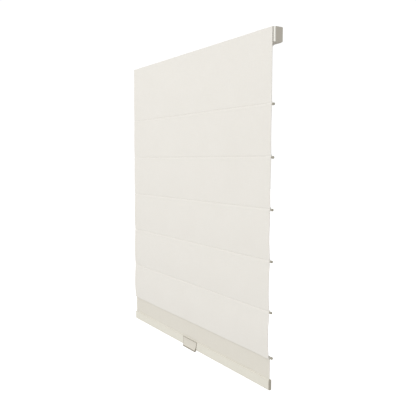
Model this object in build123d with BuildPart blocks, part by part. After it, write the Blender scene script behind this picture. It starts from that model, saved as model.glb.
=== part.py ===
# Cordless flat roman shade: a cloth face and a liner hang from a metal headrail, stiffened by
# ribs in back pockets. A spring motor in the headrail winds three lift cords, which run down
# through rings on the ribs to the bottom rail, and the shade is moved by the pull handle.
# Millimetres. X runs along the width, -Y is the room side, Y = 0 is the wall, +Z is up.
# The origin is the centre of the brackets' wall screws.
import os
from math import acos, cos, sin

from build123d import *

os.makedirs("parts", exist_ok=True)

# Shade
shade_width = 914.0            # cloth, side to side
shade_height = 1067.0          # cloth, top edge to the lower edge of the hem
first_rib_drop = 218.0         # top edge to the first rib
skirt_height = 98.0            # last rib to the lower edge
last_fold_take_up = 14.0       # how much shorter the last fold is than the others
rib_count = 6
face_thickness = 0.9
liner_thickness = 0.5
cloth_gap = 0.1                # face to liner
seam_rise = 6.0                # stitch line above its rib
last_seam_rise = 4.0
last_ring_gap = 0.5            # last rib's ring foot in front of the ring's eye
fold_bulges = (1.5, 2.5, 3.0, 4.0, 5.0, 5.0)   # how far each fold stands forward
soft_gap = 0.3                 # clearance round a soft piece

# Headrail and its brackets
headrail_height = 43.0
headrail_depth = 29.5
headrail_wall = 1.2
headrail_lip = 4.0
end_cap_reach = 7.0            # end cap beyond the cloth
end_cap_plug = 12.0
plug_wall = 1.8
plug_clearance = 0.15
cap_corner = 3.0
bracket_sheet = 1.2
bracket_width = 40.0
bracket_inset = 60.0           # bracket centre to the cloth's side
bracket_hook_drop = 6.0
bracket_ledge = 9.0
screw_head_room = 3.3          # between the back plate and the headrail's seat
seat_gap = 0.3
wall_screw_spacing = 20.0
screw_hole_radius = 2.25
tape_thickness = 1.0
tape_height = 30.0
tape_side_margin = 5.0
tape_below_hook = 1.5

# Ribs
rib_radius = 2.5
rib_cap_side = 1.5             # plastic round the rod
rib_cap_reach = 5.3            # end cap beyond the cloth
rib_cap_wall = 1.5
rib_cap_gap = 0.05
pocket_cloth = 0.6
ring_outer_radius = 3.2
ring_bore_radius = 1.5
ring_height = 2.4
ring_foot_width = 9.0
ring_foot_height = 8.0
ring_foot_thickness = 1.2

# Lift cords, spools and shaft
cord_radius = 0.7
cord_inset = 130.0             # outer cords to the cloth's side
cord_spool_gap = 0.1
shaft_radius = 2.5
shaft_flat = 0.6               # depth of the flat that keys the shaft
shaft_overhang = 26.0          # beyond the outer cords
key_gap = 0.05
shaft_drop = 8.0               # shaft below the middle of the headrail
spool_radius = 5.5
spool_flange_rise = 2.0        # flange above the barrel
spool_flange = 1.5
spool_length = 30.0            # between the flanges
journal_radius = 4.0
journal_overhang = 1.0
running_gap = 0.05
end_play = 0.5
cradle_wall = 2.0
cradle_floor = 2.0
cradle_margin = 3.0
cradle_back_gap = 0.4          # cradle to the headrail's back wall
cradle_rim = 3.5               # plastic above the bearing
snap_width = 6.6               # slot that the journal snaps in through
nozzle_radius = 3.0
nozzle_bore_radius = 1.6
nozzle_drop = 1.0
floor_gap = 0.1

# Spring motor
motor_from_centre = 165.0
motor_length = 60.0
motor_plate = 2.5
motor_cover_sheet = 1.5
motor_side_gap = 0.3
drum_spacing = 17.5
drum_radius = 6.5
drum_flange = 2.0
drum_flange_radius = 7.8
drum_end_play = 1.0
storage_hub_radius = 4.0
storage_coil_radius = 7.4
axle_radius = 2.0
axle_overhang = 1.0
strip_thickness = 0.2
strip_edge_gap = 0.5
strip_gap = 0.05

# Bottom rail, hem and pull handle
hem_stand = 3.0                # hem's front in front of the skirt
rail_depth = 7.0
rail_height = 30.5
rail_wall = 1.0
rail_cap_reach = 3.0
rail_cap_depth = 8.7
rail_cap_corner = 1.6
rail_plug = 14.0
handle_top_width = 98.0
handle_bottom_width = 82.0
handle_rise = 32.0             # above the hem's lower edge
handle_drop = 4.4              # below it
handle_top_thickness = 1.6
handle_lip = 6.2
handle_lip_height = 3.0
handle_rivet_spacing = 60.0
handle_rivet_rise = 22.0
rivet_radius = 1.5
rivet_hole_gap = 0.1
rivet_head_radius = 2.4
rivet_head = 1.0
anchor_width = 12.0
anchor_height = 14.0
anchor_plate = 1.6
anchor_lug_width = 6.0
anchor_lug_height = 5.0
anchor_bore_radius = 1.0
anchor_wall = 1.6
anchor_rise = 20.0             # lug above the hem's lower edge

# Places that follow from the sizes above
half_width = shade_width / 2
top_z = headrail_height / 2
bottom_z = top_z - shade_height
rail_back_y = -(bracket_sheet + screw_head_room + seat_gap)
rail_front_y = rail_back_y - headrail_depth
rail_mid_y = (rail_back_y + rail_front_y) / 2
liner_back_y = rail_front_y - 2 * tape_thickness
cloth_y = liner_back_y - liner_thickness - cloth_gap - face_thickness
liner_depth = face_thickness + cloth_gap
rib_cap_radius = rib_radius + rib_cap_side
pocket_radius = rib_radius + soft_gap + pocket_cloth
rib_depth = liner_depth + liner_thickness + soft_gap + pocket_radius
fold_pitch = (shade_height - first_rib_drop - skirt_height + last_fold_take_up) / (rib_count - 1)
rib_drops = [first_rib_drop + i * fold_pitch for i in range(rib_count - 1)]
rib_drops.append(shade_height - skirt_height)
rib_zs = [top_z - drop for drop in rib_drops]
seam_zs = [z + seam_rise for z in rib_zs[:-1]] + [rib_zs[-1] + last_seam_rise]
spool_flange_radius = spool_radius + spool_flange_rise
shaft_y = rail_back_y - headrail_wall - cradle_back_gap - spool_flange_radius - end_play
cord_y = shaft_y - spool_radius - cord_radius - cord_spool_gap
cord_xs = {"left": cord_inset - half_width, "centre": 0.0, "right": half_width - cord_inset}
rib_y = cloth_y + rib_depth
last_rib_y = cord_y - ring_outer_radius - last_ring_gap - soft_gap - pocket_radius
last_set_back = last_rib_y - rib_y   # the last rib and the skirt hang this far behind the folds
rib_ys = [rib_y] * (rib_count - 1) + [last_rib_y]
shaft_z = -shaft_drop
floor_z = headrail_wall - headrail_height / 2
cradle_floor_z = floor_z + floor_gap
cradle_inside = spool_length + 2 * (spool_flange + end_play)
cradle_length = cradle_inside + 2 * cradle_wall
storage_z = shaft_z + drum_spacing
motor_inside = motor_length - 2 * motor_plate
strip_width = motor_inside - 2 * (drum_end_play + drum_flange + strip_edge_gap)
hem_front_y = cloth_y + last_set_back - hem_stand
hem_inner_depth = rail_depth + 2 * soft_gap
hem_outer_depth = hem_inner_depth + 2 * face_thickness
hem_mid_y = hem_front_y + hem_outer_depth / 2
hem_back_y = hem_front_y + hem_outer_depth
hem_height = rail_height + 2 * (soft_gap + face_thickness)
hem_top_z = bottom_z + hem_height
rail_mid_z = bottom_z + hem_height / 2
handle_back_y = hem_front_y - soft_gap
anchor_z = bottom_z + anchor_rise


def save(piece, label):
    piece.part.label = label
    export_step(piece.part, f"parts/{label}.step")


# Headrail: a channel open at the top, with lips turned in, and a hole in its floor for each cord
with BuildPart() as headrail:
    with BuildSketch(Plane.YZ.offset(-half_width)):
        with Locations((rail_mid_y, 0)):
            Rectangle(headrail_depth, headrail_height)
            Rectangle(
                headrail_depth - 2 * headrail_wall,
                headrail_height - 2 * headrail_wall,
                mode=Mode.SUBTRACT,
            )
        with Locations((rail_mid_y, top_z)):
            Rectangle(
                headrail_depth - 2 * (headrail_wall + headrail_lip),
                3 * headrail_wall,
                mode=Mode.SUBTRACT,
            )
    extrude(amount=shade_width)
    with Locations([(x, cord_y, floor_z) for x in cord_xs.values()]):
        Cylinder(nozzle_radius + running_gap, 4 * headrail_wall, mode=Mode.SUBTRACT)
save(headrail, "headrail")


# End cap: a rounded block that closes the channel, with a hollow plug inside it
def make_end_cap(side):
    outside = Plane.YZ.offset(side * half_width)
    reach = side * end_cap_reach
    with BuildPart() as cap:
        with BuildSketch(outside):
            with Locations((rail_mid_y, 0)):
                RectangleRounded(headrail_depth, headrail_height, cap_corner)
        extrude(amount=reach)
        fillet(cap.faces().sort_by(Axis.X)[-1 if side > 0 else 0].edges(), 1.0)
        with BuildSketch(outside):
            inside_depth = headrail_depth - 2 * (headrail_wall + plug_clearance)
            inside_height = headrail_height - 2 * (headrail_wall + plug_clearance)
            with Locations((rail_mid_y, 0)):
                RectangleRounded(inside_depth, inside_height, 1.0)
                Rectangle(
                    inside_depth - 2 * plug_wall,
                    inside_height - 2 * plug_wall,
                    mode=Mode.SUBTRACT,
                )
        extrude(amount=-side * end_cap_plug)
    return cap


save(make_end_cap(-1), "end_cap_left")
save(make_end_cap(1), "end_cap_right")


# Bracket: bent sheet with a back plate for two wall screws, a top flange with a ceiling screw
# hole and a hook over the headrail's front edge, a ledge under it and a stiffener at each side
def make_bracket(x):
    hook_y = rail_front_y - seat_gap - bracket_sheet
    flange_z = top_z + seat_gap
    ledge_z = -top_z - seat_gap - bracket_sheet
    with BuildPart() as bracket:
        with BuildSketch(Plane.YZ.offset(x - bracket_width / 2)):
            with BuildLine():
                Polyline(
                    (0, ledge_z),
                    (0, flange_z + bracket_sheet),
                    (hook_y, flange_z + bracket_sheet),
                    (hook_y, top_z - bracket_hook_drop),
                    (hook_y + bracket_sheet, top_z - bracket_hook_drop),
                    (hook_y + bracket_sheet, flange_z),
                    (-bracket_sheet, flange_z),
                    (-bracket_sheet, ledge_z + bracket_sheet),
                    (-bracket_ledge, ledge_z + bracket_sheet),
                    (-bracket_ledge, ledge_z),
                    (0, ledge_z),
                )
            make_face()
        extrude(amount=bracket_width)
        bends = bracket.edges().filter_by(Axis.X).group_by(Axis.Z)[-1]
        fillet(bends, bracket_sheet * 0.8)
        rib_x = (bracket_width - bracket_sheet) / 2
        rib_mid_y = -bracket_sheet - screw_head_room / 2
        with Locations((x - rib_x, rib_mid_y, 0), (x + rib_x, rib_mid_y, 0)):
            Box(bracket_sheet, screw_head_room, headrail_height - 2 * headrail_wall)
        with Locations((x, 0, wall_screw_spacing / 2), (x, 0, -wall_screw_spacing / 2)):
            Cylinder(
                screw_hole_radius, 4 * bracket_sheet, rotation=(90, 0, 0), mode=Mode.SUBTRACT
            )
        with Locations((x, rail_mid_y, top_z)):
            Cylinder(screw_hole_radius, 4 * bracket_sheet, mode=Mode.SUBTRACT)
    return bracket


save(make_bracket(bracket_inset - half_width), "bracket_left")
save(make_bracket(half_width - bracket_inset), "bracket_right")


# Touch tape: the loop half is glued to the headrail and the hook half is sewn to the liner
def make_tape(back_y):
    middle_z = top_z - bracket_hook_drop - tape_below_hook - tape_height / 2
    with BuildPart() as tape:
        with Locations((0, back_y - tape_thickness / 2, middle_z)):
            Box(shade_width - 2 * tape_side_margin, tape_thickness, tape_height)
    return tape


save(make_tape(rail_front_y), "loop_tape")
save(make_tape(rail_front_y - tape_thickness), "hook_tape")


# A cloth layer: its front lies this deep behind the front of the shade. It hangs straight on the
# headrail, bows forward in each fold, steps back above the last rib and hangs down to the hem.
def make_cloth(depth, thickness, bulges):
    with BuildPart() as cloth:
        with BuildSketch(Plane.YZ.offset(-half_width)):
            with BuildLine():
                for back in (depth, depth + thickness):
                    y = cloth_y + back
                    step_z = seam_zs[-1] + back
                    ends = seam_zs[:-1] + [step_z]
                    Line((y, top_z), (y, -top_z))
                    for start_z, end_z, bulge in zip([-top_z] + seam_zs, ends, bulges):
                        if bulge:
                            ThreePointArc(
                                (y, start_z), (y - bulge, (start_z + end_z) / 2), (y, end_z)
                            )
                        else:
                            Line((y, start_z), (y, end_z))
                    Polyline(
                        (y, step_z),
                        (y + last_set_back, step_z),
                        (y + last_set_back, hem_top_z + soft_gap),
                    )
                for start_y, z in (
                    (cloth_y, top_z),
                    (cloth_y + last_set_back, hem_top_z + soft_gap),
                ):
                    Line((start_y + depth, z), (start_y + depth + thickness, z))
            make_face()
        extrude(amount=shade_width)
    return cloth


save(make_cloth(0, face_thickness, fold_bulges), "face_fabric")
save(make_cloth(liner_depth, liner_thickness, (0,) * rib_count), "liner")


# One rib: a rod in a cloth pocket with a seam allowance, two end caps and three cord rings
def make_rib_rod(y, z):
    with BuildPart() as rod:
        with Locations((0, y, z)):
            length = shade_width + 2 * (rib_cap_reach - rib_cap_wall)
            Cylinder(rib_radius, length, rotation=(0, 90, 0))
    return rod


def make_rib_caps(y, z):
    inner_end = half_width + soft_gap
    outer_end = half_width + rib_cap_reach
    with BuildPart() as caps:
        for side in (-1, 1):
            with Locations((side * (inner_end + outer_end) / 2, y, z)):
                Cylinder(rib_cap_radius, outer_end - inner_end, rotation=(0, 90, 0))
        rims = caps.edges().filter_by(GeomType.CIRCLE).group_by(Axis.X)
        fillet(rims[0] + rims[-1], 1.2)
        socket = shade_width + 2 * (rib_cap_reach - rib_cap_wall)
        with Locations((0, y, z)):
            Cylinder(rib_radius + rib_cap_gap, socket, rotation=(0, 90, 0), mode=Mode.SUBTRACT)
    return caps


def make_rib_pocket(y, z, rise):
    with BuildPart() as pocket:
        with BuildSketch(Plane.YZ.offset(-half_width)):
            with Locations((y, z)):
                Circle(pocket_radius)
            with Locations((y - pocket_radius, z)):
                Rectangle(pocket_cloth, rise + 2, align=(Align.MIN, Align.MIN))
            with Locations((y, z)):
                Circle(rib_radius + soft_gap, mode=Mode.SUBTRACT)
        extrude(amount=shade_width)
    return pocket


def make_cord_rings(y, z):
    foot_front = y + pocket_radius + soft_gap
    with BuildPart() as rings:
        for x in cord_xs.values():
            with Locations((x, foot_front + ring_foot_thickness / 2, z)):
                Box(ring_foot_width, ring_foot_thickness, ring_foot_height)
            with Locations((x, (foot_front + cord_y) / 2, z)):
                Box(2 * ring_bore_radius, cord_y - foot_front, ring_height)
            with Locations((x, cord_y, z)):
                Cylinder(ring_outer_radius, ring_height)
                Cylinder(ring_bore_radius, ring_foot_height, mode=Mode.SUBTRACT)
    return rings


for number, (y, z) in enumerate(zip(rib_ys, rib_zs), 1):
    rise = last_seam_rise if number == rib_count else seam_rise
    save(make_rib_rod(y, z), f"rib_rod_{number}")
    save(make_rib_caps(y, z), f"rib_caps_{number}")
    save(make_rib_pocket(y, z, rise), f"rib_pocket_{number}")
    save(make_cord_rings(y, z), f"cord_rings_{number}")


# Drive shaft: a round rod with one flat, which turns the spools and the motor's output drum
with BuildPart() as drive_shaft:
    shaft_length = 2 * (half_width - cord_inset + shaft_overhang)
    with BuildSketch(Plane.YZ.offset(-shaft_length / 2)):
        with Locations((shaft_y, shaft_z)):
            Circle(shaft_radius)
        with Locations((shaft_y, shaft_z + shaft_radius - shaft_flat)):
            Rectangle(2 * shaft_radius, shaft_radius, align=(Align.CENTER, Align.MIN),
                      mode=Mode.SUBTRACT)
    extrude(amount=shaft_length)
save(drive_shaft, "drive_shaft")


# A flanged drum keyed on the shaft, with a journal at each end that runs in its bearings
def make_keyed_drum(x, barrel, barrel_radius, flange, flange_radius, overhang):
    length = barrel + 2 * (flange + overhang)
    with BuildPart() as drum:
        with Locations((x, shaft_y, shaft_z)):
            Cylinder(journal_radius, length, rotation=(0, 90, 0))
            Cylinder(barrel_radius, barrel, rotation=(0, 90, 0))
        for side in (-1, 1):
            with Locations((x + side * (barrel + flange) / 2, shaft_y, shaft_z)):
                Cylinder(flange_radius, flange, rotation=(0, 90, 0))
        with BuildSketch(Plane.YZ.offset(x - length / 2)):
            with Locations((shaft_y, shaft_z)):
                Circle(shaft_radius + key_gap)
            with Locations((shaft_y, shaft_z + shaft_radius - shaft_flat + key_gap)):
                Rectangle(2 * shaft_radius + 1, shaft_radius, align=(Align.CENTER, Align.MIN),
                          mode=Mode.SUBTRACT)
        extrude(amount=length, mode=Mode.SUBTRACT)
    return drum


# Cradle: holds a spool in two snap-in bearings and leads its cord through the headrail's floor
def make_cradle(x):
    wall_z = cradle_floor_z + cradle_floor
    wall_height = shaft_z + journal_radius + cradle_rim - wall_z
    wall_depth = 2 * (spool_flange_radius + end_play)
    wall_x = (cradle_inside + cradle_wall) / 2
    floor_front = cord_y - nozzle_radius - 1
    floor_back = shaft_y + wall_depth / 2
    on_floor = (Align.CENTER, Align.CENTER, Align.MIN)
    with BuildPart() as cradle:
        with Locations((x, (floor_front + floor_back) / 2, cradle_floor_z)):
            Box(cradle_length + 2 * cradle_margin, floor_back - floor_front, cradle_floor,
                align=on_floor)
        with Locations((x - wall_x, shaft_y, wall_z), (x + wall_x, shaft_y, wall_z)):
            Box(cradle_wall, wall_depth, wall_height, align=on_floor)
        with Locations((x, cord_y, cradle_floor_z)):
            nozzle = headrail_wall + floor_gap + nozzle_drop
            Cylinder(nozzle_radius, nozzle, align=(Align.CENTER, Align.CENTER, Align.MAX))
            Cylinder(nozzle_bore_radius, 4 * nozzle, mode=Mode.SUBTRACT)
        with Locations((x, shaft_y, shaft_z)):
            Cylinder(journal_radius + running_gap, cradle_length, rotation=(0, 90, 0),
                     mode=Mode.SUBTRACT)
            Box(cradle_length, snap_width, 2 * (journal_radius + cradle_rim),
                align=on_floor, mode=Mode.SUBTRACT)
    return cradle


# Lift cord: straight from its spool, down through the rings, into its anchor on the rail
def make_lift_cord(x):
    end_z = anchor_z - anchor_lug_height / 2 - 1
    with BuildPart() as cord:
        with Locations((x, cord_y, end_z)):
            Cylinder(cord_radius, shaft_z - end_z, align=(Align.CENTER, Align.CENTER, Align.MIN))
    return cord


for side, cord_x in cord_xs.items():
    spool = make_keyed_drum(
        cord_x, spool_length, spool_radius, spool_flange, spool_flange_radius,
        end_play + cradle_wall + journal_overhang,
    )
    save(spool, f"spool_{side}")
    save(make_cradle(cord_x), f"cradle_{side}")
    save(make_lift_cord(cord_x), f"lift_cord_{side}")

# Spring motor: an output drum on the shaft and a storage drum above it on its own axle, joined
# by the spring's strip, in a housing of two plates on a base
output_drum = make_keyed_drum(
    motor_from_centre, strip_width + 2 * strip_edge_gap, drum_radius, drum_flange,
    drum_flange_radius, drum_end_play + motor_plate + journal_overhang,
)
save(output_drum, "output_drum")

with BuildPart() as storage_drum:
    drum_length = motor_inside - 2 * drum_end_play
    flange_from_middle = (drum_length - drum_flange) / 2
    with Locations((motor_from_centre, shaft_y, storage_z)):
        Cylinder(storage_hub_radius, drum_length, rotation=(0, 90, 0))
    for side in (-1, 1):
        with Locations((motor_from_centre + side * flange_from_middle, shaft_y, storage_z)):
            Cylinder(drum_flange_radius, drum_flange, rotation=(0, 90, 0))
    with Locations((motor_from_centre, shaft_y, storage_z)):
        Cylinder(axle_radius + running_gap, drum_length, rotation=(0, 90, 0), mode=Mode.SUBTRACT)
save(storage_drum, "storage_drum")

with BuildPart() as spring_coil:
    with Locations((motor_from_centre, shaft_y, storage_z)):
        Cylinder(storage_coil_radius, strip_width, rotation=(0, 90, 0))
        Cylinder(storage_hub_radius + strip_gap, strip_width, rotation=(0, 90, 0),
                 mode=Mode.SUBTRACT)
save(spring_coil, "spring_coil")

# The strip leaves the back of the coil and reaches the front of the output drum, so the two
# drums turn opposite ways
with BuildPart() as spring_strip:
    clear = strip_gap + strip_thickness / 2
    coil_reach = storage_coil_radius + clear
    drum_reach = drum_radius + clear
    turn = acos((coil_reach + drum_reach) / drum_spacing)
    strip_start = (shaft_y + coil_reach * sin(turn), storage_z - coil_reach * cos(turn))
    strip_end = (shaft_y - drum_reach * sin(turn), shaft_z + drum_reach * cos(turn))
    with BuildSketch(Plane.YZ.offset(motor_from_centre - strip_width / 2)):
        with BuildLine():
            across = (sin(turn) * strip_thickness / 2, -cos(turn) * strip_thickness / 2)
            Polyline(
                (strip_start[0] + across[0], strip_start[1] + across[1]),
                (strip_end[0] + across[0], strip_end[1] + across[1]),
                (strip_end[0] - across[0], strip_end[1] - across[1]),
                (strip_start[0] - across[0], strip_start[1] - across[1]),
                close=True,
            )
        make_face()
    extrude(amount=strip_width)
save(spring_strip, "spring_strip")

housing_depth = headrail_depth - 2 * (headrail_wall + motor_side_gap)
plate_bottom_z = cradle_floor_z + motor_plate
plate_top_z = storage_z + drum_flange_radius + end_play
with BuildPart() as motor_housing:
    with Locations((motor_from_centre, rail_mid_y, cradle_floor_z)):
        Box(motor_length, housing_depth, motor_plate, align=(Align.CENTER, Align.CENTER, Align.MIN))
    for side in (-1, 1):
        plate_x = motor_from_centre + side * (motor_length - motor_plate) / 2
        with Locations((plate_x, rail_mid_y, plate_bottom_z)):
            Box(motor_plate, housing_depth, plate_top_z - plate_bottom_z,
                align=(Align.CENTER, Align.CENTER, Align.MIN))
    with Locations((motor_from_centre, shaft_y, shaft_z)):
        Cylinder(journal_radius + running_gap, motor_length, rotation=(0, 90, 0),
                 mode=Mode.SUBTRACT)
    with Locations((motor_from_centre, shaft_y, storage_z)):
        Cylinder(axle_radius, motor_length, rotation=(0, 90, 0), mode=Mode.SUBTRACT)
save(motor_housing, "motor_housing")

with BuildPart() as motor_cover:
    with Locations((motor_from_centre, rail_mid_y, plate_top_z)):
        Box(motor_length, housing_depth, motor_cover_sheet,
            align=(Align.CENTER, Align.CENTER, Align.MIN))
    lug_y = rail_mid_y - (housing_depth - motor_cover_sheet) / 2
    lug_length = motor_inside - 2 * motor_side_gap
    with Locations((motor_from_centre, lug_y, plate_top_z)):
        Box(lug_length, motor_cover_sheet, drum_spacing,
            align=(Align.CENTER, Align.CENTER, Align.MAX))
save(motor_cover, "motor_cover")

with BuildPart() as drum_axle:
    with Locations((motor_from_centre, shaft_y, storage_z)):
        Cylinder(axle_radius, motor_length + 2 * axle_overhang, rotation=(0, 90, 0))
    chamfer(drum_axle.edges().filter_by(GeomType.CIRCLE), axle_overhang / 3)
save(drum_axle, "drum_axle")

# Bottom rail: a flat tube with rivet holes in front for the handle and behind for the anchors
handle_rivets_at = [
    (side * handle_rivet_spacing / 2, hem_front_y, bottom_z + handle_rivet_rise) for side in (-1, 1)
]
anchor_pegs_at = [(x, hem_back_y, anchor_z) for x in cord_xs.values()]
with BuildPart() as bottom_rail:
    rail_length = shade_width + 2 * soft_gap
    with BuildSketch(Plane.YZ.offset(-rail_length / 2)):
        with Locations((hem_mid_y, rail_mid_z)):
            RectangleRounded(rail_depth, rail_height, rail_wall)
            Rectangle(rail_depth - 2 * rail_wall, rail_height - 2 * rail_wall, mode=Mode.SUBTRACT)
    extrude(amount=rail_length)
    with Locations(handle_rivets_at + anchor_pegs_at):
        Cylinder(rivet_radius + rivet_hole_gap, rail_depth, rotation=(90, 0, 0),
                 mode=Mode.SUBTRACT)
save(bottom_rail, "bottom_rail")


# Rail cap: a rounded plate against the rail's end, with a plug in its tube
def make_rail_cap(side):
    rail_end = Plane.YZ.offset(side * rail_length / 2)
    with BuildPart() as cap:
        with BuildSketch(rail_end):
            with Locations((hem_front_y + rail_cap_depth / 2, rail_mid_z)):
                RectangleRounded(rail_cap_depth, rail_height + 1, rail_cap_corner)
        extrude(amount=side * (rail_cap_reach - soft_gap))
        fillet(cap.faces().sort_by(Axis.X)[-1 if side > 0 else 0].edges(), 0.8)
        with BuildSketch(rail_end):
            with Locations((hem_mid_y, rail_mid_z)):
                inset = 2 * (rail_wall + plug_clearance)
                Rectangle(rail_depth - inset, rail_height - inset)
        extrude(amount=-side * rail_plug)
    return cap


save(make_rail_cap(-1), "rail_cap_left")
save(make_rail_cap(1), "rail_cap_right")

# Hem: the cloth's lower end, folded round the rail and stitched shut above it
with BuildPart() as hem_pocket:
    with BuildSketch(Plane.YZ.offset(-half_width)):
        with Locations((hem_mid_y, rail_mid_z)):
            RectangleRounded(hem_outer_depth, hem_height, 2 * face_thickness)
            RectangleRounded(
                hem_inner_depth, hem_height - 2 * face_thickness, face_thickness, mode=Mode.SUBTRACT
            )
    extrude(amount=shade_width)
    with Locations(handle_rivets_at + anchor_pegs_at):
        Cylinder(rivet_radius + soft_gap, 3 * face_thickness, rotation=(90, 0, 0),
                 mode=Mode.SUBTRACT)
save(hem_pocket, "hem_pocket")

# Pull handle: a tapered plate on the hem's front, hollowed to a finger lip along its lower edge
with BuildPart() as lift_handle:
    handle_bottom_z = bottom_z - handle_drop
    handle_top_z = bottom_z + handle_rise
    lip_z = handle_bottom_z + handle_lip_height
    with BuildSketch(Plane.YZ.offset(-handle_top_width / 2)):
        with BuildLine():
            Polyline(
                (handle_back_y - handle_top_thickness, handle_top_z),
                (handle_back_y, handle_top_z),
                (handle_back_y, handle_bottom_z),
                (handle_back_y - handle_lip, handle_bottom_z),
                (handle_back_y - handle_lip, lip_z),
            )
            ThreePointArc(
                (handle_back_y - handle_lip, lip_z),
                (handle_back_y - handle_top_thickness - 1, (handle_top_z + 2 * lip_z) / 3),
                (handle_back_y - handle_top_thickness, handle_top_z),
            )
        make_face()
    extrude(amount=handle_top_width)
    with BuildSketch(Plane.XZ.offset(-handle_back_y + 2 * handle_lip)):
        with BuildLine():
            Polyline(
                (-handle_top_width / 2, handle_top_z),
                (handle_top_width / 2, handle_top_z),
                (handle_bottom_width / 2, handle_bottom_z),
                (-handle_bottom_width / 2, handle_bottom_z),
                close=True,
            )
        make_face()
    extrude(amount=-4 * handle_lip, mode=Mode.INTERSECT)
    lip_edges = lift_handle.edges().filter_by(Axis.X).group_by(Axis.Y)[0]
    fillet(lip_edges, handle_lip_height / 3)
save(lift_handle, "lift_handle")

# Rivets of the handle: through the hem's front and the rail's front wall, with heads inside
with BuildPart() as handle_rivets:
    wall_back_y = hem_front_y + face_thickness + soft_gap + rail_wall
    middle_y = (handle_back_y + wall_back_y) / 2
    for x, _, z in handle_rivets_at:
        with Locations((x, middle_y, z)):
            Cylinder(rivet_radius, wall_back_y - handle_back_y, rotation=(90, 0, 0))
        with Locations((x, wall_back_y + rivet_head / 2, z)):
            Cylinder(rivet_head_radius, rivet_head, rotation=(90, 0, 0))
save(handle_rivets, "handle_rivets")

# Cord anchors: a plate behind the hem, a peg into the rail's back wall and a lug for the cord
with BuildPart() as cord_anchors:
    plate_front_y = hem_back_y + soft_gap
    plate_back_y = plate_front_y + anchor_plate
    lug_back_y = cord_y + anchor_bore_radius + anchor_wall
    peg_end_y = hem_back_y - face_thickness - soft_gap - rail_wall
    for x in cord_xs.values():
        with Locations((x, plate_front_y + anchor_plate / 2, anchor_z)):
            Box(anchor_width, anchor_plate, anchor_height)
        with Locations((x, (plate_back_y + lug_back_y) / 2, anchor_z)):
            Box(anchor_lug_width, lug_back_y - plate_back_y, anchor_lug_height)
        with Locations((x, (plate_front_y + peg_end_y) / 2, anchor_z)):
            Cylinder(rivet_radius, plate_front_y - peg_end_y, rotation=(90, 0, 0))
        with Locations((x, cord_y, anchor_z)):
            Cylinder(anchor_bore_radius, 2 * anchor_lug_height, mode=Mode.SUBTRACT)
save(cord_anchors, "cord_anchors")
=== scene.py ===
import math

import bmesh
import bpy
import numpy as np
from mathutils import Matrix, Vector


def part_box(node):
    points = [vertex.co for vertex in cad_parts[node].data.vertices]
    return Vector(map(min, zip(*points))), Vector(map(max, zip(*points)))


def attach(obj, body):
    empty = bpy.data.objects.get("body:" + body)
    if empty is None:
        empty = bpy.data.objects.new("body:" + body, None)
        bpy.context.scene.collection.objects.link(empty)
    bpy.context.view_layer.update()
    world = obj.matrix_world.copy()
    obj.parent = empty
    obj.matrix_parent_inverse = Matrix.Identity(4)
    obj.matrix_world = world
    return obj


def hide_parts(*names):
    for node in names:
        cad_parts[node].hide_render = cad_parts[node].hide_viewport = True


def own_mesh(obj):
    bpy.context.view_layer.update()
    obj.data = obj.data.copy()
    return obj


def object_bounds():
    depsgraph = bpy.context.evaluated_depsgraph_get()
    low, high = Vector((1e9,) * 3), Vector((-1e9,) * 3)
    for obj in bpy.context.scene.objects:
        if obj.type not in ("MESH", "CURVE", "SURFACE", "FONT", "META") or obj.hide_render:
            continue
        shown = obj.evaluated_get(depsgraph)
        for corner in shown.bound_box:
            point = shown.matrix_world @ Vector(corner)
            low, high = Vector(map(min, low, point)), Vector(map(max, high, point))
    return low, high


# Cordless roman shade: cloth, liner, hem, pockets, cords, threads and finishes on the fixed frame.
# Metres. X runs along the width, -Y is the room side, Z is up.
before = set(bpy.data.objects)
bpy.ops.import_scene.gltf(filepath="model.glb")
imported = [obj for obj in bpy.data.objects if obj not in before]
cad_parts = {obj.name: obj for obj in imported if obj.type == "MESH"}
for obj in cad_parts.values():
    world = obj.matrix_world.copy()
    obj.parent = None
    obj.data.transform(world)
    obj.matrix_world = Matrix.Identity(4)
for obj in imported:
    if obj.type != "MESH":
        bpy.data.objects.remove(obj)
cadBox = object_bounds()
scene = bpy.context.scene
print("frame loaded:", len(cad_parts), "nodes")

# Shader helpers


def nodeIn(tree, kind, **settings):
    node = tree.nodes.new(kind)
    for name, value in settings.items():
        setattr(node, name, value)
    return node


def feed(tree, socket, value):
    # Links a socket, or sets a plain value on the input
    if isinstance(value, bpy.types.NodeSocket):
        tree.links.new(value, socket)
    else:
        socket.default_value = value


def calc(tree, operation, first, second=0.0, third=0.0):
    node = nodeIn(tree, "ShaderNodeMath", operation=operation)
    for socket, value in zip(node.inputs, (first, second, third)):
        feed(tree, socket, value)
    return node.outputs[0]


def scaled(tree, vector, factors):
    node = nodeIn(tree, "ShaderNodeVectorMath", operation="MULTIPLY")
    feed(tree, node.inputs[0], vector)
    node.inputs[1].default_value = factors
    return node.outputs[0]


def noise(tree, vector, scale, detail=2.0):
    node = nodeIn(tree, "ShaderNodeTexNoise")
    feed(tree, node.inputs["Vector"], vector)
    feed(tree, node.inputs["Scale"], scale)
    node.inputs["Detail"].default_value = detail
    return node.outputs["Fac"]


def startGroup(name, inputs, outputs):
    # A node group with named inputs (name, kind, value) and named float outputs
    group = bpy.data.node_groups.new(name, "ShaderNodeTree")
    for label, kind, value in inputs:
        socket = group.interface.new_socket(name=label, in_out="INPUT", socket_type=kind)
        if value is not None:
            socket.default_value = value
    for label in outputs:
        group.interface.new_socket(name=label, in_out="OUTPUT", socket_type="NodeSocketFloat")
    return group, group.nodes.new("NodeGroupInput"), group.nodes.new("NodeGroupOutput")


number = "NodeSocketFloat"
vectorKind = "NodeSocketVector"


# Camera, floor and light

faceLow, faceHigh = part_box("face_fabric")
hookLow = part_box("hook_tape")[0]
hemLow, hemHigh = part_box("hem_pocket")

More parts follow.
